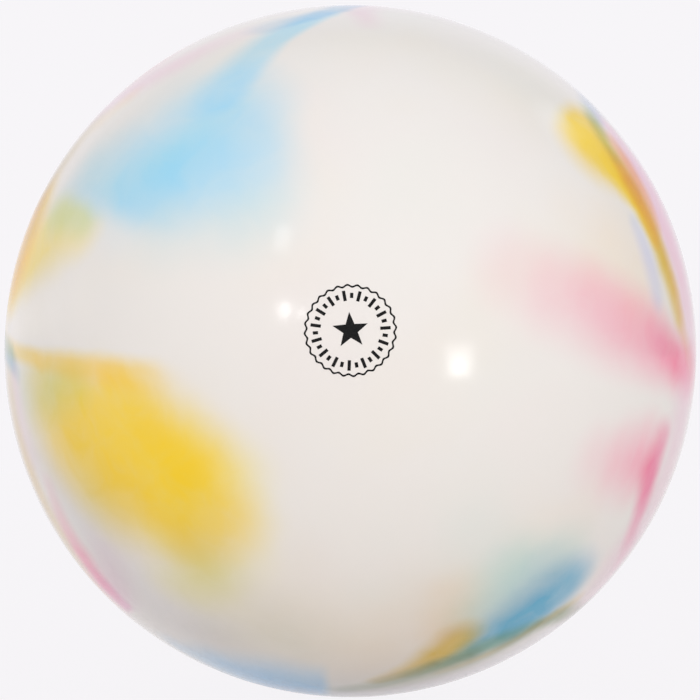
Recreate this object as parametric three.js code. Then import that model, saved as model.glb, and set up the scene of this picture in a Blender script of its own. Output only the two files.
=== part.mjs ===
// Inflatable hand-apparatus ball for rhythmic gymnastics and stage juggling, in millimetres, +Z up.
// A one-piece moulded vinyl shell holds an inflation valve made of a rubber sleeve and a push-in plug.
// The origin is the centre of the ball and the valve's axis is +Y. Every piece is turned about +Y.
import * as THREE from "three";

// Ball
const ballDiameter = 185;
const wallThickness = 3.1;

// Flat pad on the outside, round the valve, and the boss that thickens the wall behind it
const padRadius = 9;
const bossRadius = 10.5;
const bossDepth = 10.5; // from the pad to the boss's inner end
const bossFillet = 4; // where the boss runs out into the wall
const bossChamfer = 1;

// Rubber sleeve: a flange in the pad, a barrel through the boss and a barbed lip behind it
const flangeRadius = 6.2;
const flangeThickness = 2.2;
const barrelRadius = 3.8;
const lipRadius = 5.4;
const lipRim = 0.7; // height of the lip's straight rim
const lipTaper = 1.5; // height of the cone behind the rim
const lipEndRadius = 3.2;
const sleeveEase = 0.3; // chamfer on the flange's outer edge

// Plug: a shallow domed head in the sleeve's seat, and a ribbed stem in its bore
const headRadius = 3.6;
const headThickness = 1.1; // at the head's edge
const headDome = 0.3; // the middle stands this much above the edge
const stemRadius = 1.25;
const stemLength = 9.5;
const tipLength = 1.6;
const tipRadius = 0.7;
const ribHeight = 0.22;
const ribPitch = 2.1;
const ribLength = 1;
const ribCount = 3;
const pinholeRadius = 0.55; // blind hole that the pump's needle hooks to pull the plug
const pinholeDepth = 2.6;

// Clearances between pieces
const bondGap = 0.15; // all round the sleeve
const plugGap = 0.14; // all round the plug

// Facets
const ballSegments = 60; // round the valve's axis
const valveSegments = 36;
const ballStep = 6; // degrees along the ball's arcs
const filletStep = 22.5; // degrees along the boss's fillet
const domeSteps = 3;

const ballRadius = ballDiameter / 2;
const innerRadius = ballRadius - wallThickness;
const padHeight = Math.sqrt(ballRadius ** 2 - padRadius ** 2);
const bossEnd = padHeight - bossDepth;
const flangeUnderside = padHeight - flangeThickness;
const boreRadius = stemRadius + ribHeight + plugGap;
const headTop = padHeight;
const headUnderside = headTop - headThickness;
const seatFloor = headUnderside - plugGap;
const seatRadius = headRadius + plugGap;

// A profile point: distance from the valve's axis, then height along it.
const point = (radius, height) => new THREE.Vector2(radius, height);

// Points on an arc, both ends included. Angles are in degrees from the outward radius towards +Y.
function arc(centre, radius, from, to, step) {
  const count = Math.ceil(Math.abs(to - from) / step);
  return Array.from({ length: count + 1 }, (_, i) => {
    const angle = THREE.MathUtils.degToRad(from + ((to - from) * i) / count);
    return point(centre.x + radius * Math.cos(angle), centre.y + radius * Math.sin(angle));
  });
}

const degreesOf = (side, height) => THREE.MathUtils.radToDeg(Math.atan2(height, side));

// The wall, its pad, the boss and the stepped hole for the sleeve, from the outer front pole round
// to the inner one.
function shellProfile() {
  const middle = point(0, 0);
  const holeRadius = barrelRadius + bondGap;
  const counterboreRadius = flangeRadius + bondGap;
  const counterboreFloor = flangeUnderside - bondGap;
  // The fillet's circle touches the boss's side and the inside of the wall.
  const filletSide = bossRadius + bossFillet;
  const filletHeight = Math.sqrt((innerRadius - bossFillet) ** 2 - filletSide ** 2);
  const filletAngle = degreesOf(filletSide, filletHeight);
  const outsideFront = arc(middle, ballRadius, -90, 0, ballStep);
  const outsideBack = arc(middle, ballRadius, 0, degreesOf(padRadius, padHeight), ballStep);
  const fillet = arc(point(filletSide, filletHeight), bossFillet, 180, filletAngle, filletStep);
  const insideBack = arc(middle, innerRadius, filletAngle, 0, ballStep);
  const insideFront = arc(middle, innerRadius, 0, -90, ballStep);
  outsideFront[0].x = 0;
  insideFront[insideFront.length - 1].x = 0;
  return [
    ...outsideFront,
    ...outsideBack.slice(1),
    point(counterboreRadius, padHeight),
    point(counterboreRadius, counterboreFloor),
    point(holeRadius, counterboreFloor),
    point(holeRadius, bossEnd),
    point(bossRadius - bossChamfer, bossEnd),
    point(bossRadius, bossEnd + bossChamfer),
    ...fillet,
    ...insideBack.slice(1),
    ...insideFront.slice(1),
  ];
}

// Flange with the plug's seat, barrel, bore and lip. The profile closes on itself.
function sleeveProfile() {
  const lipTop = bossEnd - bondGap;
  const lipBottom = lipTop - lipRim - lipTaper;
  const profile = [
    point(boreRadius, lipBottom),
    point(lipEndRadius, lipBottom),
    point(lipRadius, lipTop - lipRim),
    point(lipRadius, lipTop),
    point(barrelRadius, lipTop),
    point(barrelRadius, flangeUnderside),
    point(flangeRadius, flangeUnderside),
    point(flangeRadius, padHeight - sleeveEase),
    point(flangeRadius - sleeveEase, padHeight),
    point(seatRadius, padHeight),
    point(seatRadius, seatFloor),
    point(boreRadius, seatFloor),
  ];
  return [...profile, profile[0].clone()];
}

// Stem tip, ribs, head and pinhole, from the tip to the pinhole's floor.
function plugProfile() {
  const tip = headUnderside - stemLength;
  const profile = [
    point(0, tip),
    point(tipRadius, tip),
    point(stemRadius, tip + tipLength),
  ];
  for (let i = 0; i < ribCount; i++) {
    const start = tip + tipLength + ribLength / 2 + i * ribPitch;
    profile.push(
      point(stemRadius, start),
      point(stemRadius + ribHeight, start + ribLength / 2),
      point(stemRadius, start + ribLength),
    );
  }
  profile.push(
    point(stemRadius, headUnderside),
    point(headRadius, headUnderside),
    point(headRadius, headTop),
  );
  for (let i = 1; i <= domeSteps; i++) {
    const radius = THREE.MathUtils.lerp(headRadius, pinholeRadius, i / domeSteps);
    profile.push(point(radius, headTop + headDome * (1 - (radius / headRadius) ** 2)));
  }
  profile.push(
    point(pinholeRadius, headTop - pinholeDepth),
    point(0, headTop - pinholeDepth),
  );
  return profile;
}

function turned(name, profile, segments, material) {
  const mesh = new THREE.Mesh(new THREE.LatheGeometry(profile, segments), material);
  mesh.name = name;
  return mesh;
}

const marbledVinyl = new THREE.MeshStandardMaterial({ color: 0xefebe6, roughness: 0.15, metalness: 0 });
const valveRubber = new THREE.MeshStandardMaterial({ color: 0xd8cfbf, roughness: 0.6, metalness: 0 });
const plugVinyl = new THREE.MeshStandardMaterial({ color: 0xf4f2ee, roughness: 0.4, metalness: 0 });

const ball = new THREE.Group();
ball.add(
  turned("ball_shell", shellProfile(), ballSegments, marbledVinyl),
  turned("valve_sleeve", sleeveProfile(), valveSegments, valveRubber),
  turned("valve_plug", plugProfile(), valveSegments, plugVinyl),
);

export default ball;
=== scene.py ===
import math

import bpy
from mathutils import Matrix, Vector


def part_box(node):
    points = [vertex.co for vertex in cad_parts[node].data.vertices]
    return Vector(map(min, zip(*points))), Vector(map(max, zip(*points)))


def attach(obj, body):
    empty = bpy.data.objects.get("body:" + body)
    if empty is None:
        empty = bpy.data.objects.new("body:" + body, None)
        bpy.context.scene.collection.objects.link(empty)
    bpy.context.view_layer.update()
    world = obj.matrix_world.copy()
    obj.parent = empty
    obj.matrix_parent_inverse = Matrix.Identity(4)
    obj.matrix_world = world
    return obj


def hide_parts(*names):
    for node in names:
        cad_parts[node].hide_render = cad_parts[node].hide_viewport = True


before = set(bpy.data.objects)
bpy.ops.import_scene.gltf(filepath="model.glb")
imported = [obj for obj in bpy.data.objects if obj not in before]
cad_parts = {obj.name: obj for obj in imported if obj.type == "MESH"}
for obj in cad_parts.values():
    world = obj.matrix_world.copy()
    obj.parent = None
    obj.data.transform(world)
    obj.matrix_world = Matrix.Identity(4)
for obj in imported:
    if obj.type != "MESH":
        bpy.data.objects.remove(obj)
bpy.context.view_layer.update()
scene = bpy.context.scene
mm = 0.001
shellLow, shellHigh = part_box("ball_shell")
ballRadius = (shellHigh.x - shellLow.x) / 2
padHeight = shellHigh.y  # the flat pad round the valve, on the ball's back
print("frame loaded: ball radius", round(ballRadius / mm, 2), "mm,",
      "valve pad at", round(padHeight / mm, 2), "mm")


# Helpers for node trees. Inputs that are sockets are linked, and the rest are set.

def addNode(tree, kind, inputs=None, **settings):
    node = tree.nodes.new(kind)
    for name, value in settings.items():
        setattr(node, name, value)
    for socket, value in (inputs or {}).items():
        if isinstance(value, bpy.types.NodeSocket):
            tree.links.new(value, node.inputs[socket])
        else:
            node.inputs[socket].default_value = value
    return node


def shapeNode(tree, kind, shape, inputs=None, **settings):
    # a Geometry Nodes step that takes one shape and gives one back
    node = addNode(tree, "GeometryNode" + kind, inputs, **settings)
    tree.links.new(shape, node.inputs[0])
    return node.outputs[0]


def maths(tree, operation, *values):
    given = dict(enumerate(values))
    return addNode(tree, "ShaderNodeMath", given, operation=operation).outputs[0]


def vectorMaths(tree, operation, first, second=None, scale=None):
    given = {0: first}
    if second is not None:
        given[1] = second
    if scale is not None:
        given["Scale"] = scale
    node = addNode(tree, "ShaderNodeVectorMath", given, operation=operation)
    single = operation in ("DOT_PRODUCT", "LENGTH", "DISTANCE")
    return node.outputs["Value" if single else "Vector"]


def combine(tree, **parts):
    return addNode(tree, "ShaderNodeCombineXYZ", parts).outputs[0]


def separate(tree, vector):
    return addNode(tree, "ShaderNodeSeparateXYZ", {0: vector}).outputs


def mixColour(tree, amount, first, second, blend="MIX"):
    given = {0: amount, 6: first, 7: second}  # the colour sockets' places
    return addNode(tree, "ShaderNodeMix", given, data_type="RGBA", blend_type=blend,
                   clamp_factor=True).outputs[2]


def rgba(colour):
    return (*colour, 1.0)


def newShader(name):
    material = bpy.data.materials.new(name)
    material.use_nodes = True
    tree = material.node_tree
    tree.nodes.clear()
    output = tree.nodes.new("ShaderNodeOutputMaterial")
    shader = tree.nodes.new("ShaderNodeBsdfPrincipled")
    tree.links.new(shader.outputs[0], output.inputs["Surface"])
    return material, tree, shader


def objectPoint(tree):
    return addNode(tree, "ShaderNodeTexCoord").outputs["Object"]


noiseSpan = (0.3, 0.7)  # where most of the noise's values lie


def noiseValue(tree, point, scale, detail=2.0, distortion=0.0, output="Fac"):
    given = {"Vector": point, "Scale": scale, "Detail": detail, "Distortion": distortion}
    return addNode(tree, "ShaderNodeTexNoise", given, noise_dimensions="3D").outputs[output]


def mapRange(tree, value, fromMin, fromMax, toMin, toMax, kind="LINEAR"):
    given = {"Value": value, "From Min": fromMin, "From Max": fromMax,
             "To Min": toMin, "To Max": toMax}
    node = addNode(tree, "ShaderNodeMapRange", given, interpolation_type=kind,
                   clamp=kind == "LINEAR")
    return node.outputs["Result"]


def addBump(tree, shader, height, strength, depth):
    given = {"Height": height, "Strength": strength, "Distance": depth}
    tree.links.new(addNode(tree, "ShaderNodeBump", given).outputs[0], shader.inputs["Normal"])


# A Geometry Nodes tree that turns a profile about the valve's axis, +Y

def newTree(name, sockets):
    tree = bpy.data.node_groups.new(name, "GeometryNodeTree")
    for label, kind in sockets:
        tree.interface.new_socket(label, in_out="INPUT", socket_type="NodeSocket" + kind)
    tree.interface.new_socket("Geometry", in_out="OUTPUT", socket_type="NodeSocketGeometry")
    entry = tree.nodes.new("NodeGroupInput")
    return tree, entry.outputs


def endTree(tree, shape, finish):
    real = shapeNode(tree, "RealizeInstances", shape)
    done = shapeNode(tree, "SetMaterial", real, {"Material": finish})
    addNode(tree, "NodeGroupOutput", {"Geometry": done})


def buildRevolveTree():
    tree, given = newTree("revolveProfile", [
        ("Profile", "Geometry"), ("Segments", "Int"), ("Sharp angle", "Float"),
        ("Weld distance", "Float"), ("Finish", "Material")])
    profile = given["Profile"]
    size = addNode(tree, "GeometryNodeAttributeDomainSize", {0: profile}, component="MESH")
    count = size.outputs["Point Count"]
    columns = maths(tree, "ADD", given["Segments"], 1)
    grid = addNode(tree, "GeometryNodeMeshGrid", {"Vertices X": columns, "Vertices Y": count})
    index = tree.nodes.new("GeometryNodeInputIndex").outputs[0]
    column = maths(tree, "FLOOR", maths(tree, "DIVIDE", index, count))
    row = maths(tree, "MODULO", index, count)
    place = tree.nodes.new("GeometryNodeInputPosition").outputs[0]
    sample = addNode(tree, "GeometryNodeSampleIndex", data_type="FLOAT_VECTOR", domain="POINT")
    for source, socket in ((profile, "Geometry"), (place, "Value"), (row, "Index")):
        tree.links.new(source, sample.inputs[socket])
    parts = separate(tree, sample.outputs[0])
    oneStep = maths(tree, "DIVIDE", math.tau, given["Segments"])
    angle = maths(tree, "MULTIPLY", column, oneStep)
    across = maths(tree, "MULTIPLY", parts["X"], maths(tree, "SINE", angle))
    upward = maths(tree, "MULTIPLY", parts["X"], maths(tree, "COSINE", angle))
    turned = combine(tree, X=across, Y=parts["Y"], Z=upward)
    shape = shapeNode(tree, "SetPosition", grid.outputs["Mesh"], {"Position": turned})
    shape = shapeNode(tree, "MergeByDistance", shape, {"Distance": given["Weld distance"]})
    shape = shapeNode(tree, "SetShadeSmooth", shape, {"Shade Smooth": True}, domain="FACE")
    bend = tree.nodes.new("GeometryNodeInputMeshEdgeAngle").outputs["Unsigned Angle"]
    sharp = maths(tree, "GREATER_THAN", bend, given["Sharp angle"])
    shape = shapeNode(tree, "SetShadeSmooth", shape,
                      {"Selection": sharp, "Shade Smooth": False}, domain="EDGE")
    endTree(tree, shape, given["Finish"])
    return tree


def growPiece(name, seedMesh, tree, values):
    seed = bpy.data.objects.new(name + "Seed", seedMesh)
    scene.collection.objects.link(seed)
    modifier = seed.modifiers.new("shape", "NODES")
    modifier.node_group = tree
    for item in tree.interface.items_tree:
        if item.in_out == "INPUT" and item.name in values:
            modifier[item.identifier] = values[item.name]
    depsgraph = bpy.context.evaluated_depsgraph_get()
    grown = seed.evaluated_get(depsgraph)
    mesh = bpy.data.meshes.new_from_object(grown, depsgraph=depsgraph)
    bpy.data.objects.remove(seed)
    mesh.name = name
    piece = bpy.data.objects.new(name, mesh)
    scene.collection.objects.link(piece)
    print("made", name, "with", len(mesh.polygons), "faces")
    return piece


# Profiles are (distance from the valve's axis, height along it)

def profileMesh(name, points):
    mesh = bpy.data.meshes.new(name)
    edges = [(i, i + 1) for i in range(len(points) - 1)]
    mesh.from_pydata([(r, h, 0) for r, h in points], edges, [])
    return mesh


def arc(middle, radius, start, end, step):
    count = max(1, math.ceil(abs(end - start) / step))
    angles = [math.radians(start + (end - start) * i / count) for i in range(count + 1)]
    return [(middle[0] + radius * math.cos(a), middle[1] + radius * math.sin(a)) for a in angles]


def roundCorners(corners, steps=5):
    # each corner is (radius, height, rounding); the ends stay where they are
    points = []
    for i, (x, y, rounding) in enumerate(corners):
        here = Vector((x, y))
        if rounding == 0 or i in (0, len(corners) - 1):
            points.append((x, y))
            continue
        toLast = Vector(corners[i - 1][:2]) - here
        toNext = Vector(corners[i + 1][:2]) - here
        reach = min(toLast.length, toNext.length) * 0.49  # just under half, so two arcs never meet
        toLast.normalize()
        toNext.normalize()
        half = toLast.angle(toNext) / 2
        rounding = min(rounding, reach * math.tan(half))
        cut = rounding / math.tan(half)
        middle = here + (toLast + toNext).normalized() * (rounding / math.sin(half))
        first = here + toLast * cut - middle
        last = here + toNext * cut - middle
        sweep = first.angle_signed(last)
        for k in range(steps + 1):
            turned = first.copy()
            turned.rotate(Matrix.Rotation(-sweep * k / steps, 2))
            points.append(tuple(middle + turned))
    return points


revolveTree = buildRevolveTree()


# A dye tints what is under it, so yellow over blue turns green.
dyes = {
    "sky": (0.33, 0.85, 1.15),
    "blue": (0.35, 0.66, 0.95),
    "teal": (0.12, 0.52, 0.82),
    "sea": (0.50, 0.85, 0.85),
    "slate": (0.55, 0.70, 0.92),
    "gold": (1.09, 0.80, 0.08),
    "lemon": (1.05, 1.0, 0.30),
    "straw": (1.12, 0.95, 0.35),
    "amber": (0.88, 0.50, 0.04),
    "ochre": (0.82, 0.60, 0.12),
    "tan": (0.92, 0.70, 0.36),
    "olive": (0.35, 0.45, 0.25),
    "pink": (0.98, 0.30, 0.52),
    "rose": (1.09, 0.42, 0.60),
    "orchid": (0.99, 0.58, 0.82),
    "coral": (0.96, 0.52, 0.22),
    "peach": (1.08, 0.85, 0.55),
    "mist": (0.75, 0.77, 0.86),
    "mustard": (0.92, 0.86, 0.08),
    "periwinkle": (0.30, 0.76, 1.28),
    "moss": (0.40, 0.62, 0.30),
    "stone": (0.72, 0.72, 0.60),
    "milk": (1.15, 1.16, 1.18),
    "lilac": (1.04, 1.02, 1.16),
}

# A run of dye follows a path on the ball. Each step of the path is (clock, tilt, half width,
# strength), angles in degrees: tilt 0 is the front's middle, 90 the side, 180 the valve; clock 0
# is the viewer's right, 90 the top. "soft" is how much of the half width the edge takes, on the
# path's left and right; without it the edge takes all. An "edge" stops the run along a line
# between two points, softened by so many degrees; what lies on the line's left is kept.
vinyl = {
    "base": (0.85, 0.817, 0.795),
    "clouds": [  # faint pearl tints: a place in the noise, a colour, a strength
        ((3.1, 2.17, 4.03), (1.0, 0.96, 0.97), 0.5),
        ((7.7, 5.39, 10.01), (0.96, 1.0, 0.98), 0.4),
        ((12.3, 8.61, 15.99), (1.0, 0.98, 0.92), 0.5),
    ],
    "cloudScale": 2.2,
    "cloudEdge": (0.45, 0.75),  # noise values where a cloud starts and is full
    "warp": 0.02,  # how far the runs wander, as a share of the radius
    "warpScale": 4.0,
    "streak": 0.08,  # how much the dye thickens and thins along its run
    "streakScale": 9.0,
    "edgeReach": 0.6,  # how far a soft edge goes past the half width, as a share
    "sideTurn": 0.6,  # left softness turns into right softness this near the path
    "roughness": (0.10, 0.14),
    "roughnessScale": 60.0,
    "ior": 1.36,
    "peelScale": 700.0,  # the moulded skin's fine unevenness
    "peelStrength": 0.05,
    "peelDepth": 0.2 * mm,
    "runs": [
        # upper left: a blue fan that narrows to the rim
        {"dye": "sky", "edge": ((106, 20), (105, 60), 5), "path": [
            (112, 33, 9, 0.4), (124, 31, 10, 0.43), (139, 36, 9, 0.28), (146, 43, 7, 0.2)]},
        {"dye": "sky", "soft": (1.0, 0.9), "edge": ((151.5, 75), (149.8, 40), 3), "path": [
            (114, 49, 6.5, 0.45), (119, 44.5, 9.5, 0.68), (126, 42.5, 11, 0.72),
            (134, 42.5, 10, 0.78), (143, 46.5, 10, 0.7), (147, 54, 9.5, 0.5)]},
        {"dye": "sky", "soft": (1.0, 0.5), "path": [
            (117, 50, 5, 0.3), (111, 54.5, 4.2, 0.45), (105, 60, 3.6, 0.55),
            (99, 65.5, 3.2, 0.65), (95, 69.5, 3, 0.5)]},
        {"dye": "sky", "path": [(124, 55, 6, 0.15), (133, 54, 6, 0.2)]},
        {"dye": "blue", "soft": (0.9, 0.5), "path": [
            (104, 67.5, 3.6, 0.35), (97, 69, 3, 0.6), (92.5, 72.5, 2.8, 0.75),
            (90.5, 79, 3, 0.75), (88, 99, 7, 0.0)]},
        {"dye": "orchid", "path": [
            (110, 68, 4, 0.2), (121, 68, 4.5, 0.4), (128, 70.5, 4.5, 0.42), (134, 76, 4, 0.45),
            (141, 92, 8, 0.0)]},
        {"dye": "peach", "path": [(132, 68.5, 3, 0.35), (137, 70, 3, 0.3)]},
        {"dye": "orchid", "path": [
            (87, 63, 2.2, 0.15), (88, 70, 2.6, 0.4), (87.5, 79, 3, 0.3), (86, 94, 7, 0.0)]},
        # left rim: green, then gold
        {"dye": "tan", "path": [(140, 74, 4, 0.35), (148, 74.5, 4.5, 0.5), (153, 76, 4, 0.5)]},
        {"dye": "stone", "path": [
            (139, 75, 3.6, 0.35), (147, 75, 3.8, 0.6), (152, 75.5, 3.8, 0.6)]},
        {"dye": "straw", "soft": (0.8, 0.7), "edge": ((151, 45), (151, 75), 2), "path": [
            (155, 53, 5.5, 0.65), (158, 60, 7.5, 0.78), (164, 66, 6, 0.95),
            (168.5, 71, 4.5, 0.85)]},
        {"dye": "sky", "soft": (0.9, 1.0), "path": [(153, 52, 3.5, 0.3), (154.5, 62, 4, 0.32)]},
        {"dye": "gold", "soft": (0.8, 0.6), "path": [
            (156.5, 73.5, 6.5, 0.95), (163, 73, 7, 0.97), (169, 76, 5.5, 0.95)]},
        {"dye": "ochre", "path": [(157, 74, 5.5, 0.75), (166, 74, 5, 0.5)]},
        {"dye": "milk", "path": [
            (170, 50, 7, 0.3), (174, 60, 5.5, 0.9), (175.5, 68, 4.5, 1.0),
            (175.5, 75, 3.5, 0.7)]},
        # left: the big yellow patch, its upper edge crisp
        {"dye": "gold", "soft": (0.8, 0.8), "edge": ((182.3, 33), (179, 70), 1.6), "path": [
            (191, 37.5, 8.5, 0.84), (204, 35, 9.5, 0.92), (216, 32.5, 10, 0.96),
            (228, 33.5, 8.5, 0.8), (221, 36.5, 10, 0.88), (206, 41.5, 13.5, 0.93),
            (195, 48, 13, 0.9), (189, 55, 9, 0.72)]},
        {"dye": "lemon", "path": [
            (192, 42, 7, 0.15), (201, 39, 8, 0.8), (212, 32.5, 8, 1.0), (221, 38, 7, 0.75)]},
        {"dye": "lemon", "path": [
            (215, 27, 5, 0.2), (225, 27, 6.5, 0.5), (236, 31, 6, 0.36), (240, 38, 6, 0.3),
            (240, 45, 6, 0.25)]},
        {"dye": "mustard", "path": [
            (196, 54, 7, 0.2), (207, 50, 7, 0.42), (222, 44, 6, 0.32), (234, 43.5, 6.5, 0.5),
            (234, 49, 6, 0.35)]},
        {"dye": "gold", "soft": (0.8, 0.8), "path": [
            (188, 31, 2.6, 0.1), (185.3, 37, 2.6, 0.25), (183.6, 45, 2.3, 0.42),
            (182, 54, 1.8, 0.5), (180.7, 62, 1.6, 0.6), (179, 74, 1.8, 0.45), (176, 92, 6, 0.0)]},
        {"dye": "sky", "path": [(186.5, 47, 4, 0.2), (187, 54, 5, 0.3), (188, 61, 5.5, 0.22)]},
        {"dye": "mist", "path": [(230, 35, 6, 0.15), (238, 44, 7, 0.35)]},
        # lower left: grey and lavender between the patch and the rim
        {"dye": "mist", "path": [
            (200, 63, 5, 0.3), (215, 58, 9, 0.5), (228, 61, 10, 0.5), (240, 60, 9, 0.4)]},
        {"dye": "orchid", "edge": ((230, 80), (230, 55), 3), "path": [
            (221, 60, 5, 0.2), (225, 66, 5.5, 0.4)]},
        {"dye": "teal", "soft": (0.8, 0.8), "path": [
            (183.5, 66.5, 1.8, 0.2), (181, 70.5, 2.3, 0.6), (179.5, 78, 2.6, 0.5),
            (177, 97, 7, 0.0)]},
        {"dye": "orchid", "path": [(184, 69, 3, 0.25), (198, 68, 3.5, 0.18)]},
        {"dye": "tan", "soft": (0.9, 0.9), "path": [
            (186, 74, 3.8, 0.45), (200, 73, 4.2, 0.8), (212, 74, 4, 0.7), (222, 78, 3.6, 0.5),
            (236, 93, 8, 0.0)]},
        {"dye": "rose", "soft": (0.9, 0.9), "path": [
            (205, 65, 2.6, 0.2), (211, 67.5, 3.4, 0.45), (217, 69, 4.2, 0.8), (222, 71.5, 4, 0.7),
            (229, 88, 7, 0.0)]},
        {"dye": "orchid", "soft": (0.8, 0.8), "edge": ((229.3, 80), (229.3, 60), 1), "path": [
            (218, 69.5, 2.4, 0.3), (224, 71, 3.6, 0.95), (230, 72, 3.6, 1.0)]},
        # bottom rim: blue that stops short
        {"dye": "periwinkle", "soft": (0.9, 0.8), "edge": ((265.8, 80), (265.8, 55), 1.2), "path": [
            (241, 73, 4.5, 0.4), (249, 71, 7.5, 0.66), (257, 70.5, 10, 0.8),
            (264, 71, 10, 0.86)]},
        {"dye": "stone", "path": [(246, 56, 7, 0.25), (255, 50, 9, 0.32)]},
        # painted shade: a broad faint tan wash that darkens and warms the lower middle, where less
        # light falls
        {"dye": "tan", "path": [(258, 48, 12, 0.1), (274, 52, 12, 0.2), (288, 44, 9, 0.12)]},
        # lower right: ochre, green and teal
        {"dye": "ochre", "soft": (0.9, 0.7), "path": [
            (275, 65, 2, 0.5), (281, 61.5, 2.8, 0.7), (286, 58, 3.8, 1.0),
            (290.5, 55.5, 4.4, 0.9)]},
        {"dye": "lemon", "path": [
            (280, 61.5, 2.4, 0.2), (285.5, 58.5, 3.2, 0.45), (289, 57, 3.2, 0.35)]},
        {"dye": "ochre", "path": [
            (286, 66.2, 1.6, 0.3), (296, 65.8, 1.6, 0.45), (303, 65.6, 1.6, 0.65),
            (308, 66.3, 1.7, 0.75), (312, 68, 2, 0.3)]},
        {"dye": "tan", "path": [(290, 51, 5, 0.4), (293, 44, 5, 0.22)]},
        {"dye": "olive", "soft": (0.9, 0.8), "path": [
            (268.5, 70, 2.6, 0.35), (273, 68, 2.6, 0.38), (279, 65, 2.8, 0.66),
            (285, 63, 3, 0.75), (291, 63, 2.8, 0.6)]},
        {"dye": "moss", "soft": (0.9, 0.8), "path": [
            (281, 63.5, 2, 0.3), (286, 62.3, 2.6, 0.58), (292, 61.8, 3, 0.78),
            (298, 62.5, 2.7, 0.74), (304, 64.5, 2, 0.45)]},
        {"dye": "olive", "soft": (1.0, 0.9), "path": [
            (271, 70, 3, 0.25), (285, 67, 3.2, 0.4), (298, 66.3, 2.6, 0.4), (304, 66.5, 2.4, 0.6),
            (308.5, 68.5, 2.6, 0.9), (311, 78, 3, 0.6), (317, 98, 8, 0.0)]},
        {"dye": "teal", "soft": (0.9, 0.7), "path": [
            (288.5, 62, 2.2, 0.3), (294, 60.5, 4.2, 0.72), (300.5, 59.5, 6.6, 1.0),
            (306, 59, 7.2, 0.97), (311.5, 59, 6.6, 0.84), (314, 60, 5.2, 0.35)]},
        {"dye": "slate", "path": [(302, 52, 5, 0.2), (311, 51.5, 5.5, 0.35)]},
        {"dye": "sea", "path": [(300, 51, 7, 0.5), (307, 48.5, 7.5, 0.6), (313, 51, 7, 0.5)]},
        {"dye": "sea", "path": [(307, 42, 6, 0.15), (304, 35, 6, 0.08)]},
        # right: the pink streak, then the pink wedge
        {"dye": "pink", "soft": (0.9, 0.8), "path": [
            (321, 77, 4, 0.0), (327.5, 67.5, 2.4, 0.5), (333, 64.5, 3, 0.8),
            (339, 61.5, 3.6, 1.0), (344.5, 61.5, 3.2, 0.62)]},
        {"dye": "rose", "path": [
            (334, 66, 3, 0.2), (339, 56.5, 6.5, 0.75), (338, 51, 6, 0.5), (337, 45, 5, 0.22)]},
        {"dye": "rose", "soft": (0.8, 1.0), "path": [
            (26, 28, 6.5, 0.15), (17, 33, 7, 0.32), (11, 39, 7, 0.5), (6.4, 45, 6.8, 0.6),
            (3.7, 50, 6.3, 0.7), (0.7, 56, 5.6, 0.85), (358.5, 62, 4.6, 1.0),
            (356.8, 69, 4, 0.75), (356.5, 77, 4.4, 0.5), (353, 101, 11, 0.0)]},
        {"dye": "pink", "path": [
            (359.4, 58, 3, 0.1), (357.7, 62.8, 3, 0.46), (356.8, 67, 2.6, 0.25)]},
        # upper right: a yellow wedge with a dark edge, and pink outside it
        {"dye": "gold", "soft": (0.7, 0.7), "edge": ((48.6, 75), (48.6, 45), 2), "path": [
            (43.5, 61.5, 7, 0.86), (40.5, 59.5, 7.6, 0.9), (37, 59.8, 6, 0.94),
            (32, 60.6, 4.3, 0.97), (27, 61.5, 2.9, 0.95), (21, 61.6, 2.4, 0.8)]},
        {"dye": "milk", "path": [(46, 57, 5, 0.7), (42, 61, 4, 0.35)]},
        {"dye": "lemon", "path": [(42, 60, 5, 0.6), (33, 61, 3.5, 0.8), (24, 62, 2.6, 0.4)]},
        {"dye": "mustard", "path": [
            (45, 69.5, 2.2, 0.35), (42.5, 66.3, 2.4, 0.7), (39, 63.8, 2.6, 0.85),
            (33, 62.6, 2.8, 1.0), (25, 62.4, 2.7, 0.95), (15, 62.7, 2.9, 0.95),
            (6, 64.9, 2.3, 0.6)]},
        {"dye": "amber", "soft": (0.8, 0.9), "path": [
            (37, 63.5, 1.6, 0.25), (31, 62.8, 2.7, 0.7), (24, 62.3, 2.6, 0.5),
            (15, 62.7, 2.8, 0.6), (8, 64.3, 2.5, 0.5), (2.5, 67, 2.1, 0.4), (354, 76, 3, 0.0)]},
        {"dye": "slate", "soft": (0.9, 0.9), "path": [
            (36, 63.5, 1.8, 0.35), (40, 64.6, 2.2, 0.6), (43, 67.3, 2.5, 0.95),
            (45, 72, 2.6, 0.85), (46.7, 79, 3, 0.7), (51, 99, 8, 0.0)]},
        {"dye": "coral", "soft": (0.9, 1.0), "path": [
            (38, 68, 2.6, 0.6), (34, 67.2, 3.2, 0.8), (29, 66.2, 3, 0.82), (23, 65.2, 2.2, 0.5)]},
        {"dye": "straw", "path": [(35, 67, 2.4, 0.2), (29, 66.2, 2.6, 0.35), (23, 65, 2, 0.2)]},
        {"dye": "orchid", "soft": (0.9, 0.9), "path": [
            (40, 73, 4, 0.7), (33, 71.5, 6, 0.85), (20, 70.5, 6.5, 0.85), (8, 71, 6.5, 0.7),
            (358, 74, 5.5, 0.55)]},
        {"dye": "slate", "soft": (0.9, 0.9), "path": [
            (24, 57, 1.8, 0.35), (17, 56.8, 2.4, 0.45), (10, 57, 2.4, 0.35)]},
        {"dye": "lilac", "path": [
            (23, 56.8, 2, 0.6), (17, 56.6, 2.4, 1.0), (10, 56.8, 2.4, 0.7)]},
        {"dye": "peach", "path": [(30, 44, 6, 0.1), (22, 48, 8, 0.25), (14, 51, 7, 0.25)]},
        # painted reflection: orchid and lilac along the right and lower right rim, standing in for
        # the pale surroundings mirrored at the rim
        {"dye": "orchid", "path": [
            (353, 70, 6.5, 0.5), (338, 72, 7.5, 0.48), (324, 72, 7.5, 0.52),
            (315, 75, 6.5, 0.45)]},
        {"dye": "lilac", "path": [
            (307, 76, 5.5, 0.6), (288, 74.5, 5.5, 0.75), (270, 75, 5, 0.6)]},
        # sides and back: the same runs carried on, and a few that never reach the front
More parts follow.
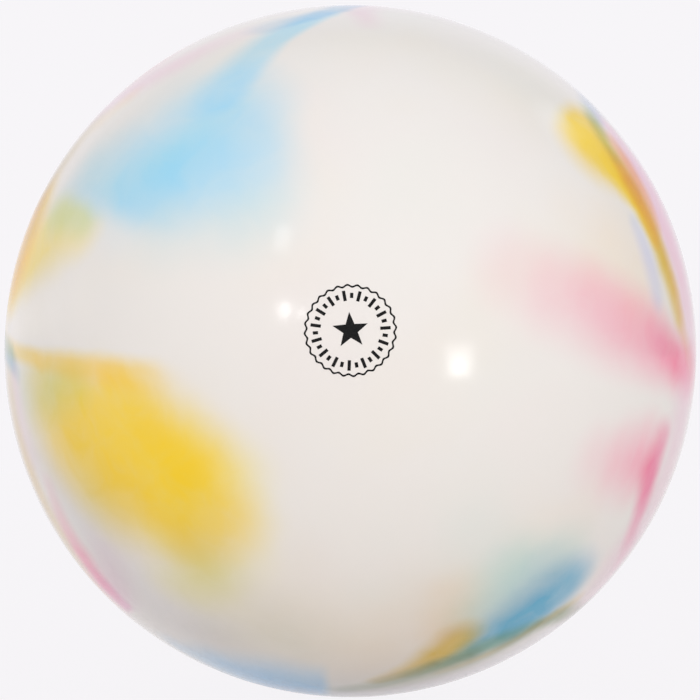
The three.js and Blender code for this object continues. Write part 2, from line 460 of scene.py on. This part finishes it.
        {"dye": "orchid", "path": [(28, 82, 8, 0.6), (14, 96, 12, 0.5), (352, 112, 12, 0.3)]},
        {"dye": "gold", "soft": (0.8, 1.0), "path": [
            (163, 84, 9, 0.85), (157, 98, 13, 0.75), (146, 113, 10, 0.4)]},
        {"dye": "sky", "soft": (1.0, 0.9), "path": [
            (257, 82, 9, 0.65), (250, 97, 13, 0.6), (263, 114, 11, 0.35)]},
        {"dye": "rose", "path": [(125, 80, 6, 0.4), (113, 95, 10, 0.65), (98, 110, 9, 0.35)]},
        {"dye": "gold", "soft": (0.9, 0.9), "path": [
            (320, 103, 8, 0.6), (306, 121, 11, 0.85), (288, 134, 8, 0.4)]},
        {"dye": "teal", "soft": (1.0, 0.8), "path": [
            (312, 84, 4, 0.4), (322, 97, 6, 0.5), (336, 112, 5, 0.3)]},
        {"dye": "sky", "soft": (0.9, 1.0), "path": [
            (202, 93, 8, 0.5), (211, 112, 13, 0.75), (229, 130, 9, 0.35)]},
        {"dye": "rose", "soft": (1.0, 0.9), "path": [
            (192, 131, 8, 0.3), (172, 143, 11, 0.6), (148, 150, 8, 0.3)]},
        {"dye": "gold", "soft": (1.0, 0.8), "path": [
            (62, 119, 8, 0.4), (46, 137, 11, 0.8), (24, 149, 8, 0.4)]},
        {"dye": "sky", "path": [(60, 86, 6, 0.3), (72, 104, 10, 0.6), (60, 124, 8, 0.35)]},
    ],
}


def ballPoint(clock, tilt):
    c, t = math.radians(clock), math.radians(tilt)
    return Vector((math.sin(t) * math.cos(c), -math.cos(t), math.sin(t) * math.sin(c)))


def buildStepGroup():
    tree = bpy.data.node_groups.new("dyeStep", "ShaderNodeTree")
    vectors = ("Direction", "Start", "End", "Left")
    numbers = ("Start width", "End width", "Left softness", "Right softness",
               "Start strength", "End strength")
    for label in vectors + numbers:
        kind = "NodeSocketVector" if label in vectors else "NodeSocketFloat"
        tree.interface.new_socket(label, in_out="INPUT", socket_type=kind)
    tree.interface.new_socket("Amount", in_out="OUTPUT", socket_type="NodeSocketFloat")
    given = tree.nodes.new("NodeGroupInput").outputs
    along = vectorMaths(tree, "SUBTRACT", given["End"], given["Start"])
    reach = vectorMaths(tree, "SUBTRACT", given["Direction"], given["Start"])
    covered = vectorMaths(tree, "DOT_PRODUCT", reach, along)
    share = maths(tree, "DIVIDE", covered, vectorMaths(tree, "DOT_PRODUCT", along, along))
    share = maths(tree, "MAXIMUM", share, 0.0)  # Clamp options here cost the shader too much memory
    share = maths(tree, "MINIMUM", share, 1.0)
    passed = vectorMaths(tree, "SCALE", along, scale=share)
    nearest = vectorMaths(tree, "ADD", given["Start"], passed)
    nearest = vectorMaths(tree, "NORMALIZE", nearest)
    distance = vectorMaths(tree, "DISTANCE", given["Direction"], nearest)
    wider = maths(tree, "SUBTRACT", given["End width"], given["Start width"])
    width = maths(tree, "MULTIPLY_ADD", wider, share, given["Start width"])
    beside = vectorMaths(tree, "DOT_PRODUCT", given["Direction"], given["Left"])
    side = maths(tree, "DIVIDE", beside, width)
    turn = vinyl["sideTurn"]
    onLeft = mapRange(tree, side, -turn, turn, 0.0, 1.0, "SMOOTHSTEP")
    leftMore = maths(tree, "SUBTRACT", given["Left softness"], given["Right softness"])
    softness = maths(tree, "MULTIPLY_ADD", leftMore, onLeft, given["Right softness"])
    inner = maths(tree, "MULTIPLY", width, maths(tree, "SUBTRACT", 1.0, softness))
    wide = maths(tree, "MULTIPLY_ADD", softness, vinyl["edgeReach"], 1.0)
    outer = maths(tree, "MULTIPLY", width, wide)
    shade = mapRange(tree, distance, inner, outer, 1.0, 0.0, "SMOOTHSTEP")
    stronger = maths(tree, "SUBTRACT", given["End strength"], given["Start strength"])
    strength = maths(tree, "MULTIPLY_ADD", stronger, share, given["Start strength"])
    addNode(tree, "NodeGroupOutput", {"Amount": maths(tree, "MULTIPLY", shade, strength)})
    return tree


def layRun(tree, group, direction, run):
    # the steps are joined by taking the strongest at each point, so they do not show
    left, right = run.get("soft", (1.0, 1.0))
    amount = None
    for first, second in zip(run["path"], run["path"][1:]):
        start, end = ballPoint(*first[:2]), ballPoint(*second[:2])
        values = {"Direction": direction, "Start": start, "End": end,
                  "Left": start.cross(end).normalized(),
                  "Start width": math.radians(first[2]), "End width": math.radians(second[2]),
                  "Left softness": left, "Right softness": right,
                  "Start strength": first[3], "End strength": second[3]}
        found = addNode(tree, "ShaderNodeGroup", values, node_tree=group).outputs[0]
        amount = found if amount is None else maths(tree, "MAXIMUM", amount, found)
    if "edge" in run:
        first, second, softness = run["edge"]
        beside = ballPoint(*first).cross(ballPoint(*second)).normalized()
        reach = math.sin(math.radians(softness))
        across = vectorMaths(tree, "DOT_PRODUCT", direction, beside)
        kept = mapRange(tree, across, -reach, reach, 0.0, 1.0, "SMOOTHSTEP")
        amount = maths(tree, "MULTIPLY", amount, kept)
    return amount


def makeMarbledVinyl():
    material, tree, shader = newShader("marbledVinyl")
    point = objectPoint(tree)
    direction = vectorMaths(tree, "NORMALIZE", point)
    drift = noiseValue(tree, direction, vinyl["warpScale"], detail=3.0, output="Color")
    centred = vectorMaths(tree, "SUBTRACT", drift, (0.5, 0.5, 0.5))
    offset = vectorMaths(tree, "SCALE", centred, scale=vinyl["warp"] * 2)
    warped = vectorMaths(tree, "NORMALIZE", vectorMaths(tree, "ADD", direction, offset))
    colour = rgba(vinyl["base"])
    for place, tint, strength in vinyl["clouds"]:
        moved = vectorMaths(tree, "ADD", direction, place)
        cloud = noiseValue(tree, moved, vinyl["cloudScale"])
        amount = mapRange(tree, cloud, *vinyl["cloudEdge"], 0.0, strength, "SMOOTHSTEP")
        colour = mixColour(tree, amount, colour, rgba(tint), "MULTIPLY")
    streaks = noiseValue(tree, warped, vinyl["streakScale"], detail=4.0, distortion=1.2)
    thickness = mapRange(tree, streaks, *noiseSpan, 1.0 - vinyl["streak"], 1.0 + vinyl["streak"])
    group = buildStepGroup()
    for run in vinyl["runs"]:
        amount = maths(tree, "MULTIPLY", layRun(tree, group, warped, run), thickness)
        colour = mixColour(tree, amount, colour, rgba(dyes[run["dye"]]), "MULTIPLY")
    tree.links.new(colour, shader.inputs["Base Color"])
    gloss = noiseValue(tree, point, vinyl["roughnessScale"], detail=3.0)
    gloss = mapRange(tree, gloss, *noiseSpan, *vinyl["roughness"])
    tree.links.new(gloss, shader.inputs["Roughness"])
    shader.inputs["IOR"].default_value = vinyl["ior"]
    peel = noiseValue(tree, point, vinyl["peelScale"])
    addBump(tree, shader, peel, vinyl["peelStrength"], vinyl["peelDepth"])
    return material


marbledVinyl = makeMarbledVinyl()
print("marbled vinyl mixed with", len(vinyl["runs"]), "runs of dye")


# The shell: an even wall, a flat pad outside and a boss inside for the valve
shellSizes = {
    "wall": 3.1 * mm,
    "padRadius": 9.0 * mm,
    "padEdge": 0.9 * mm,
    "boss": 10.5 * mm,
    "bossDepth": 10.5 * mm,
    "bossEdge": 1.0 * mm,
    "bossFillet": 4.0 * mm,  # where the boss runs out into the wall
    "hole": 3.95 * mm,
    "counterbore": 6.35 * mm,
    "counterboreDepth": 2.35 * mm,
    "mouthEdge": 0.2 * mm,
    "cornerEdge": 0.1 * mm,
    "segments": 240,
    "step": 1.5,  # degrees
    "innerStep": 5.0,
    "filletStep": 15.0,
    "sharpAngle": 35.0,
    "weld": 0.005 * mm,
}


def shellProfile():
    s = shellSizes
    inner = ballRadius - s["wall"]
    floor = padHeight - s["counterboreDepth"]
    bossEnd = padHeight - s["bossDepth"]
    padAngle = math.degrees(math.asin(padHeight / ballRadius))
    outside = arc((0, 0), ballRadius, -90, padAngle - s["step"] * 0.5, s["step"])
    outside[0] = (0, -ballRadius)
    fillet = s["bossFillet"]
    opening = roundCorners([
        (*outside[-1], 0),
        (s["padRadius"], padHeight, s["padEdge"]),
        (s["counterbore"], padHeight, s["mouthEdge"]),
        (s["counterbore"], floor, s["cornerEdge"]),
        (s["hole"], floor, s["cornerEdge"]),
        (s["hole"], bossEnd, s["mouthEdge"]),
        (s["boss"], bossEnd, s["bossEdge"]),
        (s["boss"], bossEnd + fillet, 0)])
    side = s["boss"] + fillet
    height = math.sqrt((inner - fillet) ** 2 - side ** 2)
    innerAngle = math.degrees(math.atan2(height, side))
    filletArc = arc((side, height), fillet, 180, innerAngle, s["filletStep"])
    inside = arc((0, 0), inner, innerAngle, -90, s["innerStep"])
    inside[-1] = (0, -inner)
    return outside[:-1] + opening[:-1] + filletArc + inside[1:]


shell = growPiece("ballShell", profileMesh("shellProfile", shellProfile()), revolveTree, {
    "Segments": shellSizes["segments"], "Sharp angle": math.radians(shellSizes["sharpAngle"]),
    "Weld distance": shellSizes["weld"], "Finish": marbledVinyl})
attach(shell, "ball")
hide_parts("ball_shell")


# The valve: a rubber sleeve in the pad, and a push-in plug
valve = {
    "flange": (6.2 * mm, 2.2 * mm),  # radius, thickness
    "barrel": 3.8 * mm,
    "lip": (5.4 * mm, 0.7 * mm, 1.5 * mm, 3.2 * mm),  # radius, rim, taper, end radius
    "bore": 1.61 * mm,
    "seat": (3.74 * mm, 1.24 * mm),  # radius, depth
    "head": (3.6 * mm, 1.1 * mm, 0.3 * mm),  # radius, edge thickness, dome
    "domeSteps": 5,
    "stem": (1.25 * mm, 9.5 * mm),  # radius, length
    "tip": (0.7 * mm, 1.6 * mm),  # radius, length
    "ribs": (3, 0.22 * mm, 2.1 * mm, 1.0 * mm),  # count, height, pitch, length
    "pinhole": (0.55 * mm, 2.6 * mm),  # radius, depth
    "gap": 0.15 * mm,
    "segments": 120,
    "sharpAngle": 40.0,
    "weld": 0.002 * mm,
    "rubberColours": ((0.64, 0.56, 0.45), (0.55, 0.47, 0.37)),
    "rubberRoughness": (0.5, 0.65),
    "rubberShine": 0.4,
    "rubberSpeck": 900.0,  # noise scales
    "rubberGrain": 3500.0,
    "rubberEdge": (0.35, 0.7),  # noise values where the second colour starts and is full
    "rubberBump": 0.25,
    "plugColours": ((0.84, 0.82, 0.78), (0.90, 0.88, 0.85)),
    "plugRoughness": (0.32, 0.45),
    "plugCloud": 500.0,
    "plugFlow": 1800.0,
    "plugBump": 0.15,
    "grainDepth": 0.1 * mm,
}


def sleeveProfile():
    v = valve
    flange, thickness = v["flange"]
    lip, rim, taper, lipEnd = v["lip"]
    seat, seatDepth = v["seat"]
    top = padHeight
    underside = top - thickness
    lipTop = top - shellSizes["bossDepth"] - v["gap"]
    seam = (v["bore"], lipTop, 0)  # where the closed profile starts and ends
    return roundCorners([
        seam,
        (v["bore"], lipTop - rim - taper, 0.15 * mm),
        (lipEnd, lipTop - rim - taper, 0.3 * mm),
        (lip, lipTop - rim, 0.25 * mm),
        (lip, lipTop, 0.2 * mm),
        (v["barrel"], lipTop, 0.2 * mm),
        (v["barrel"], underside, 0.15 * mm),
        (flange, underside, 0.15 * mm),
        (flange, top, 0.35 * mm),
        (seat, top, 0.25 * mm),
        (seat, top - seatDepth, 0.15 * mm),
        (v["bore"], top - seatDepth, 0.2 * mm),
        seam])


def plugProfile():
    v = valve
    head, edge, dome = v["head"]
    stem, stemLength = v["stem"]
    tip, tipLength = v["tip"]
    count, height, pitch, length = v["ribs"]
    pin, pinDepth = v["pinhole"]
    top = padHeight
    underside = top - edge
    low = underside - stemLength
    corners = [(0, low, 0), (tip, low, 0.25 * mm), (stem, low + tipLength, 0.4 * mm)]
    for i in range(count):
        start = low + tipLength + length / 2 + i * pitch
        corners += [
            (stem, start, 0.1 * mm),
            (stem + height, start + length / 2, 0.25 * mm),
            (stem, start + length, 0.1 * mm)]
    corners += [
        (stem, underside, 0.15 * mm),
        (head, underside, 0.2 * mm),
        (head, top, 0.3 * mm)]
    domeStart, domeEnd = head - 0.5 * mm, pin + 0.25 * mm
    for i in range(1, v["domeSteps"] + 1):
        radius = domeStart + (domeEnd - domeStart) * i / v["domeSteps"]
        corners.append((radius, top + dome * (1 - (radius / head) ** 2), 0))
    corners += [
        (pin, top + dome, 0.15 * mm),
        (pin, top - pinDepth, 0.1 * mm),
        (0, top - pinDepth, 0)]
    return roundCorners(corners, 4)


def makeValveRubber():
    material, tree, shader = newShader("valveRubber")
    point = objectPoint(tree)
    speck = noiseValue(tree, point, valve["rubberSpeck"], detail=3.0)
    amount = mapRange(tree, speck, *valve["rubberEdge"], 0.0, 1.0)
    colour = mixColour(tree, amount, *map(rgba, valve["rubberColours"]))
    tree.links.new(colour, shader.inputs["Base Color"])
    rough = mapRange(tree, speck, *noiseSpan, *valve["rubberRoughness"])
    tree.links.new(rough, shader.inputs["Roughness"])
    shader.inputs["Specular IOR Level"].default_value = valve["rubberShine"]
    grain = noiseValue(tree, point, valve["rubberGrain"], detail=3.0)
    addBump(tree, shader, grain, valve["rubberBump"], valve["grainDepth"])
    return material


def makePlugVinyl():
    material, tree, shader = newShader("plugVinyl")
    point = objectPoint(tree)
    cloud = noiseValue(tree, point, valve["plugCloud"], detail=3.0)
    colour = mixColour(tree, cloud, *map(rgba, valve["plugColours"]))
    tree.links.new(colour, shader.inputs["Base Color"])
    rough = mapRange(tree, cloud, *noiseSpan, *valve["plugRoughness"])
    tree.links.new(rough, shader.inputs["Roughness"])
    flow = noiseValue(tree, point, valve["plugFlow"])
    addBump(tree, shader, flow, valve["plugBump"], valve["grainDepth"])
    return material


def makeValvePiece(name, profile, finish):
    return growPiece(name, profileMesh(name + "Profile", profile), revolveTree, {
        "Segments": valve["segments"], "Sharp angle": math.radians(valve["sharpAngle"]),
        "Weld distance": valve["weld"], "Finish": finish})


sleeve = makeValvePiece("valveSleeve", sleeveProfile(), makeValveRubber())
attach(sleeve, "ball")
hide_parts("valve_sleeve")
plug = makeValvePiece("valvePlug", plugProfile(), makePlugVinyl())
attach(plug, "plug")
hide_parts("valve_plug")


# The printed mark: a plain seal in black ink, laid on the ball
mark = {
    "tilt": 3.0,  # degrees above the front's middle
    "turn": 4.0,  # degrees anticlockwise
    "ringRadius": 10.35 * mm,
    "line": 0.45 * mm,
    "scallops": 28,
    "scallopDepth": 0.24 * mm,
    "ringSteps": 420,
    "bars": 30,
    "barRadius": 8.1 * mm,
    "barSize": (0.75 * mm, 2.4 * mm),
    "shortBar": 0.5,  # length of every second bar, as a share
    "barCells": (3, 7),  # points across and along a bar, so it bends with the ball
    "starPoints": 5,
    "starRadius": 4.3 * mm,
    "starInner": 1.75 * mm,
    "starCuts": 3,
    "above": 0.03 * mm,
    "below": 0.04 * mm,
    "weld": 0.002 * mm,
    "inkColours": ((0.004, 0.004, 0.005), (0.014, 0.0135, 0.014)),
    "inkRoughness": (0.3, 0.42),
    "inkGrain": 2500.0,
    "inkEdge": (0.4, 0.75),
    "inkShine": 0.12,
}


def wrapRing(tree, given, index):
    # a strip two points wide, wrapped into a scalloped ring
    around = mark["ringSteps"]
    strip = addNode(tree, "GeometryNodeMeshGrid", {"Vertices X": around + 1, "Vertices Y": 2})
    column = maths(tree, "FLOOR", maths(tree, "DIVIDE", index, 2.0))
    side = maths(tree, "SUBTRACT", maths(tree, "MODULO", index, 2.0), 0.5)
    angle = maths(tree, "MULTIPLY", column, -math.tau / around)
    wave = maths(tree, "COSINE", maths(tree, "MULTIPLY", angle, given["Scallops"]))
    wave = maths(tree, "MULTIPLY", wave, given["Scallop depth"])
    radius = maths(tree, "ADD", given["Ring radius"], wave)
    radius = maths(tree, "ADD", radius, maths(tree, "MULTIPLY", side, given["Line"]))
    across = maths(tree, "MULTIPLY", radius, maths(tree, "COSINE", angle))
    upward = maths(tree, "MULTIPLY", radius, maths(tree, "SINE", angle))
    onRing = combine(tree, X=across, Y=upward)
    ring = shapeNode(tree, "SetPosition", strip.outputs["Mesh"], {"Position": onRing})
    return shapeNode(tree, "MergeByDistance", ring, {"Distance": mark["weld"]})


def setBars(tree, given, index):
    # long and short in turn, each pointing at the middle
    spots = addNode(tree, "GeometryNodeMeshCircle",
                    {"Vertices": given["Bars"], "Radius": given["Bar radius"]})
    cellsAcross, cellsAlong = mark["barCells"]
    bar = addNode(tree, "GeometryNodeMeshGrid", {
        "Size X": given["Bar width"], "Size Y": given["Bar length"],
        "Vertices X": cellsAcross, "Vertices Y": cellsAlong})
    turn = maths(tree, "MULTIPLY", index, maths(tree, "DIVIDE", math.tau, given["Bars"]))
    facing = combine(tree, Z=maths(tree, "SUBTRACT", turn, math.pi / 2))
    odd = maths(tree, "MODULO", index, 2.0)
    length = mapRange(tree, odd, 0.0, 1.0, 1.0, mark["shortBar"])
    size = combine(tree, X=1.0, Y=length, Z=1.0)
    bars = shapeNode(tree, "InstanceOnPoints", spots.outputs[0], {
        "Instance": bar.outputs["Mesh"], "Rotation": facing, "Scale": size})
    return shapeNode(tree, "RealizeInstances", bars)


def fillStar(tree, given):
    star = addNode(tree, "GeometryNodeCurveStar", {
        "Points": given["Star points"], "Inner Radius": given["Star inner"],
        "Outer Radius": given["Star radius"]})
    filled = shapeNode(tree, "FillCurve", star.outputs[0], mode="TRIANGLES")
    fine = shapeNode(tree, "SubdivideMesh", filled, {"Level": mark["starCuts"]})
    return shapeNode(tree, "Transform", fine, {"Rotation": (0, 0, math.pi / 2)})


def joinShapes(tree, shapes):
    joined = addNode(tree, "GeometryNodeJoinGeometry")
    for shape in shapes:
        tree.links.new(shape, joined.inputs[0])
    return joined.outputs[0]


def buildMarkTree():
    tree, given = newTree("printedMark", [
        ("Geometry", "Geometry"), ("Ball radius", "Float"), ("Tilt", "Float"),
        ("Turn", "Float"), ("Ring radius", "Float"), ("Line", "Float"), ("Scallops", "Int"),
        ("Scallop depth", "Float"), ("Bars", "Int"), ("Bar radius", "Float"),
        ("Bar width", "Float"), ("Bar length", "Float"), ("Star points", "Int"),
        ("Star radius", "Float"), ("Star inner", "Float"), ("Above", "Float"),
        ("Below", "Float"), ("Finish", "Material")])
    index = tree.nodes.new("GeometryNodeInputIndex").outputs[0]
    place = tree.nodes.new("GeometryNodeInputPosition").outputs[0]
    ring = wrapRing(tree, given, index)
    bars = setBars(tree, given, index)
    flat = joinShapes(tree, (fillStar(tree, given), bars, ring))
    # a thickness for the ink: the flat faces go up, a flipped copy closes the underside
    depth = maths(tree, "ADD", given["Above"], given["Below"])
    raised = shapeNode(tree, "ExtrudeMesh", flat, {
        "Offset": (0, 0, 1), "Offset Scale": depth, "Individual": False}, mode="FACES")
    under = shapeNode(tree, "FlipFaces", flat)
    ink = joinShapes(tree, (under, raised))
    ink = shapeNode(tree, "MergeByDistance", ink, {"Distance": mark["weld"]})
    # laid on the ball
    twisted = addNode(tree, "ShaderNodeVectorRotate",
                      {"Vector": place, "Angle": given["Turn"]}, rotation_type="Z_AXIS")
    parts = separate(tree, twisted.outputs[0])
    square = maths(tree, "MULTIPLY", given["Ball radius"], given["Ball radius"])
    for axis in ("X", "Y"):
        square = maths(tree, "SUBTRACT", square, maths(tree, "MULTIPLY", parts[axis], parts[axis]))
    forward = maths(tree, "MULTIPLY", maths(tree, "SQRT", square), -1.0)
    onBall = combine(tree, X=parts["X"], Y=forward, Z=parts["Y"])
    height = maths(tree, "SUBTRACT", parts["Z"], given["Below"])
    grown = maths(tree, "ADD", maths(tree, "DIVIDE", height, given["Ball radius"]), 1.0)
    scaled = vectorMaths(tree, "SCALE", onBall, scale=grown)
    downward = maths(tree, "MULTIPLY", given["Tilt"], -1.0)
    tipped = addNode(tree, "ShaderNodeVectorRotate",
                     {"Vector": scaled, "Angle": downward}, rotation_type="X_AXIS")
    laid = shapeNode(tree, "SetPosition", ink, {"Position": tipped.outputs[0]})
    laid = shapeNode(tree, "SetShadeSmooth", laid, {"Shade Smooth": False}, domain="FACE")
    endTree(tree, laid, given["Finish"])
    return tree


def makeMarkInk():
    material, tree, shader = newShader("blackInk")
    grain = noiseValue(tree, objectPoint(tree), mark["inkGrain"], detail=3.0)
    amount = mapRange(tree, grain, *mark["inkEdge"], 0.0, 1.0)
    colour = mixColour(tree, amount, *map(rgba, mark["inkColours"]))
    tree.links.new(colour, shader.inputs["Base Color"])
    rough = mapRange(tree, grain, *noiseSpan, *mark["inkRoughness"])
    tree.links.new(rough, shader.inputs["Roughness"])
    shader.inputs["Specular IOR Level"].default_value = mark["inkShine"]
    return material


barWidth, barLength = mark["barSize"]
printedMark = growPiece("printedMark", bpy.data.meshes.new("markSeed"), buildMarkTree(), {
    "Ball radius": ballRadius, "Tilt": math.radians(mark["tilt"]),
    "Turn": math.radians(mark["turn"]), "Ring radius": mark["ringRadius"], "Line": mark["line"],
    "Scallops": mark["scallops"], "Scallop depth": mark["scallopDepth"],
    "Bars": mark["bars"], "Bar radius": mark["barRadius"],
    "Bar width": barWidth, "Bar length": barLength, "Star points": mark["starPoints"],
    "Star radius": mark["starRadius"], "Star inner": mark["starInner"],
    "Above": mark["above"], "Below": mark["below"], "Finish": makeMarkInk()})
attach(printedMark, "ball")


# Floor, light and camera
studio = {
    "white": (0.930, 0.914, 0.939),  # the backdrop's pale lavender white
    "floorRadius": 8.0,
    "floorSides": 96,
    "floorColour": (0.86, 0.83, 0.80),
    "floorRoughness": 0.9,
    "floorGlow": 0.97,  # how much of the floor's white, near the ball, is its own
    "floorFade": (0.12, 1.2),  # from here to here it turns to all its own
    "room": {
        "level": 0.618,
        "lean": (-0.05, -0.50, 0.21),  # brighter towards the front and the top
        "least": 0.12,
        "backdrop": 0.95,
        "backdropEdge": (0.5, 0.85),
        "backdropTint": (0.975, 0.955, 1.0),
        "lowTint": (1.0, 0.93, 0.85),
        "lowEdge": (-0.5, 0.3),
    },
    # name: (clockwise azimuth from the front, elevation, distance, width, height, watts)
    "lights": {
        "keySoftbox": (31.7, -3.9, 0.6, 0.042, 0.044, 0.07),
        "keySpill": (31.8, -2.8, 0.6, 0.088, 0.1, 0.155),
        "keyFill": (31.6, -1.8, 0.6, 0.12, 0.12, 0.075),
        "fillLamp": (-20.3, 12.2, 1.5, 0.076, 0.115, 0.52),
        "smallLamp": (-14.8, 11.5, 1.5, 0.024, 0.046, 0.15),
        "stripLamp": (-24.0, 34.0, 1.5, 0.1, 0.2, 0.3),
    },
    "unmirrored": ("keyFill",),  # lamps that light the ball but leave no highlight
    "cameraPlace": (-0.0001, -0.6306, 0.0003),
    "lens": 120,
    "sensor": 36,
    "clip": (0.05, 50),
}


def makeWorld():
    world = bpy.data.worlds.new("studioWorld")
    scene.world = world
    world.use_nodes = True
    tree = world.node_tree
    tree.nodes.clear()
    room = studio["room"]
    way = addNode(tree, "ShaderNodeTexCoord").outputs["Generated"]
    parts = separate(tree, way)
    lean = vectorMaths(tree, "DOT_PRODUCT", way, room["lean"])
    level = maths(tree, "MAXIMUM", maths(tree, "ADD", lean, room["level"]), room["least"])
    behind = mapRange(tree, parts["Y"], *room["backdropEdge"], 0.0, 1.0, "SMOOTHSTEP")
    level = maths(tree, "MULTIPLY", level, maths(tree, "SUBTRACT", 1.0, behind))
    level = maths(tree, "ADD", level, maths(tree, "MULTIPLY", behind, room["backdrop"]))
    warmth = mapRange(tree, parts["Z"], *room["lowEdge"], 0.0, 1.0)
    tint = mixColour(tree, warmth, rgba(room["lowTint"]), rgba((1.0, 1.0, 1.0)))
    tint = mixColour(tree, behind, tint, rgba(room["backdropTint"]))
    lit = addNode(tree, "ShaderNodeBackground", {"Color": tint, "Strength": level})
    seen = addNode(tree, "ShaderNodeBackground", {"Color": rgba(studio["white"])})
    straight = addNode(tree, "ShaderNodeLightPath").outputs["Is Camera Ray"]
    mixed = addNode(tree, "ShaderNodeMixShader",
                    {0: straight, 1: lit.outputs[0], 2: seen.outputs[0]})
    addNode(tree, "ShaderNodeOutputWorld", {"Surface": mixed.outputs[0]})


def makeFloor():
    count, radius = studio["floorSides"], studio["floorRadius"]
    angles = [i * math.tau / count for i in range(count)]
    ring = [(radius * math.cos(a), radius * math.sin(a), -ballRadius) for a in angles]
    mesh = bpy.data.meshes.new("studioFloor")
    mesh.from_pydata(ring, [], [tuple(range(count))])
    floor = bpy.data.objects.new("studioFloor", mesh)
    scene.collection.objects.link(floor)
    material, tree, shader = newShader("paleFloor")
    shader.inputs["Base Color"].default_value = rgba(studio["floorColour"])
    shader.inputs["Roughness"].default_value = studio["floorRoughness"]
    shader.inputs["Specular IOR Level"].default_value = 0.0
    distance = vectorMaths(tree, "LENGTH", objectPoint(tree))
    glow = mapRange(tree, distance, *studio["floorFade"], studio["floorGlow"], 1.0, "SMOOTHSTEP")
    rays = addNode(tree, "ShaderNodeLightPath").outputs
    seen = maths(tree, "MAXIMUM", rays["Is Camera Ray"], rays["Is Glossy Ray"])
    glow = maths(tree, "MULTIPLY", glow, seen)
    white = addNode(tree, "ShaderNodeEmission", {"Color": rgba(studio["white"])})
    mixed = addNode(tree, "ShaderNodeMixShader",
                    {0: glow, 1: shader.outputs[0], 2: white.outputs[0]})
    output = next(n for n in tree.nodes if n.type == "OUTPUT_MATERIAL")
    tree.links.new(mixed.outputs[0], output.inputs["Surface"])
    mesh.materials.append(material)


def makeLights():
    for name, sizes in studio["lights"].items():
        azimuth, elevation, distance, width, height, watts = sizes
        light = bpy.data.lights.new(name, "AREA")
        light.shape = "RECTANGLE"
        light.size = width
        light.size_y = height
        light.energy = watts
        lamp = bpy.data.objects.new(name, light)
        a, e = math.radians(azimuth), math.radians(elevation)
        away = Vector((math.sin(a) * math.cos(e), -math.cos(a) * math.cos(e), math.sin(e)))
        lamp.location = away * distance
        lamp.rotation_mode = "QUATERNION"
        lamp.rotation_quaternion = away.to_track_quat("Z", "Y")
        lamp.visible_camera = False
        lamp.visible_glossy = name not in studio["unmirrored"]
        scene.collection.objects.link(lamp)


def makeCamera():
    data = bpy.data.cameras.new("camera")
    data.lens = studio["lens"]
    data.sensor_width = studio["sensor"]
    data.clip_start, data.clip_end = studio["clip"]
    camera = bpy.data.objects.new("camera", data)
    camera.location = studio["cameraPlace"]
    camera.rotation_mode = "QUATERNION"
    camera.rotation_quaternion = Vector((0, -1, 0)).to_track_quat("Z", "Y")
    scene.collection.objects.link(camera)
    scene.camera = camera


makeWorld()
makeFloor()
makeLights()
makeCamera()
scene.view_settings.view_transform = "Standard"
scene.view_settings.look = "None"
print("studio set")
